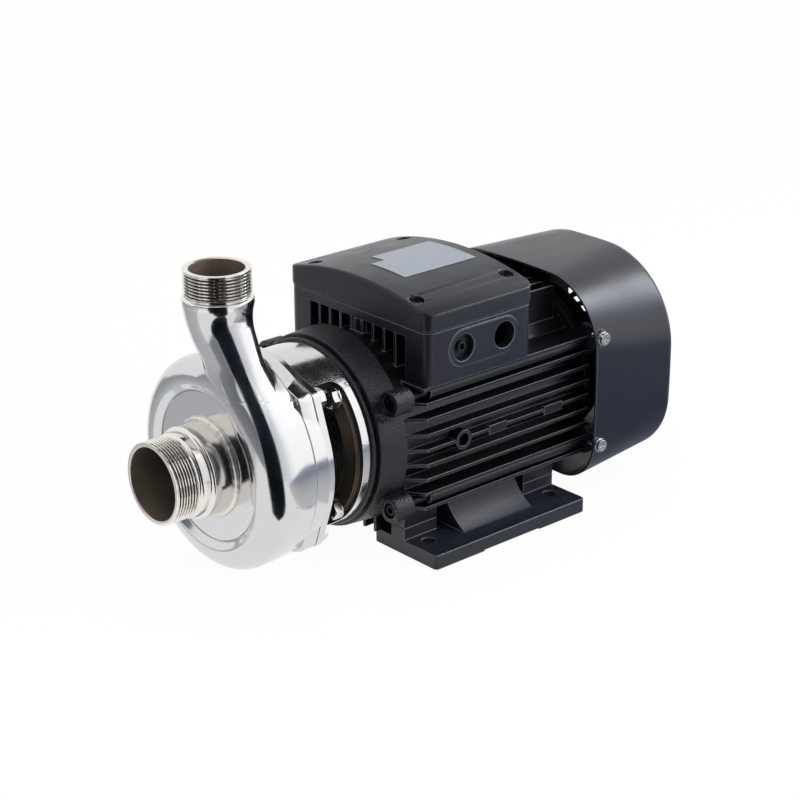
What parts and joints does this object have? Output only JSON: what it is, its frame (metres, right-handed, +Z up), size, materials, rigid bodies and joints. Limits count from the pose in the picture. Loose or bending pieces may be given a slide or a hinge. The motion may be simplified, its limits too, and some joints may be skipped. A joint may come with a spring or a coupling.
{
  "type": "centrifugal pump",
  "caption": "Close-coupled stainless centrifugal pump with threaded suction and discharge nipples and a foot-mounted finned electric motor.",
  "frame": {"origin": "centre of the pattern of the four foot holes, on the mounting plane under the feet", "axes": "+X along the shaft from the suction nipple to the fan, +Y across, away from the cable entries, +Z up"},
  "size_m": [0.434, 0.188, 0.233],
  "materials": {
    "polished_steel": "polished stainless steel",
    "satin_steel": "satin stainless steel",
    "weld_steel": "rough weld",
    "screw_steel": "bright plated steel",
    "shaft_steel": "ground steel",
    "cast_shield": "rough black paint",
    "frame_paint": "satin black paint on aluminium",
    "foot_paint": "satin black paint on aluminium",
    "box_paint": "satin black paint on aluminium",
    "cover_paint": "satin black paint on sheet steel",
    "black_rubber": "moulded",
    "carbon": "lapped carbon",
    "ceramic": "lapped ceramic",
    "core_steel": "stacked sheet",
    "copper": "enamelled wire",
    "brass": "machined",
    "cast_aluminium": "die cast",
    "fan_plastic": "moulded",
    "board_plastic": "moulded",
    "cage_plastic": "moulded",
    "lead_cover": "extruded",
    "plug_plastic": "moulded",
    "label_foil": "grey printed foil, left blank"
  },
  "bodies": {
    "housing": {"volute_casing": "polished_steel", "lantern": "polished_steel", "suction_nipple": "satin_steel", "discharge_nipple": "satin_steel", "casing_cover": "satin_steel", "suction_weld": "weld_steel", "casing_bolts": "screw_steel", "casing_washers": "screw_steel", "lantern_bolts": "screw_steel", "lantern_washers": "screw_steel", "tie_rods": "screw_steel", "tie_rod_nuts": "screw_steel", "foot_screws": "screw_steel", "lid_screws": "screw_steel", "box_fixing_screws": "screw_steel", "earth_screw": "screw_steel", "fan_cover_screws": "screw_steel", "fan_cover_washers": "screw_steel", "wave_washer": "screw_steel", "front_bearing_outer_ring": "shaft_steel", "rear_bearing_outer_ring": "shaft_steel", "front_end_shield": "cast_shield", "rear_end_shield": "cast_shield", "motor_frame": "frame_paint", "foot_near": "foot_paint", "foot_far": "foot_paint", "terminal_box": "box_paint", "terminal_box_lid": "box_paint", "fan_cover": "cover_paint", "casing_o_ring": "black_rubber", "seal_seat_cup": "black_rubber", "terminal_box_gasket": "black_rubber", "seal_seat": "ceramic", "stator_core": "core_steel", "stator_windings": "copper", "terminal_studs": "brass", "terminal_nuts": "brass", "terminal_links": "brass", "terminal_board": "board_plastic", "winding_leads": "lead_cover", "gland_plug": "plug_plastic", "rating_label": "label_foil"},
    "rotor": {"rotor_shaft": "shaft_steel", "rotor_core": "core_steel", "rotor_end_rings": "cast_aluminium", "impeller": "satin_steel", "impeller_nut": "satin_steel", "impeller_key": "shaft_steel", "seal_ring": "carbon", "seal_spring": "shaft_steel", "seal_collar": "shaft_steel", "slinger": "black_rubber", "fan": "fan_plastic", "fan_circlip": "screw_steel", "front_bearing_inner_ring": "shaft_steel", "rear_bearing_inner_ring": "shaft_steel"},
    "front_ball_set": {"front_bearing_balls": "shaft_steel", "front_bearing_cage": "cage_plastic"},
    "rear_ball_set": {"rear_bearing_balls": "shaft_steel", "rear_bearing_cage": "cage_plastic"}
  },
  "joints": [
    {"name": "rotor_spin", "type": "hinge", "parent": "housing", "child": "rotor", "pos_m": [0, 0, 0.09], "axis": [1, 0, 0], "continuous": true},
    {"name": "front_cage_spin", "type": "hinge", "parent": "housing", "child": "front_ball_set", "pos_m": [-0.0974, 0, 0.09], "axis": [1, 0, 0], "continuous": true},
    {"name": "rear_cage_spin", "type": "hinge", "parent": "housing", "child": "rear_ball_set", "pos_m": [0.1005, 0, 0.09], "axis": [1, 0, 0], "continuous": true}
  ],
  "couplings": [
    {"joint": "front_cage_spin", "follows": "rotor_spin", "ratio": 0.3969},
    {"joint": "rear_cage_spin", "follows": "rotor_spin", "ratio": 0.3969}
  ]
}
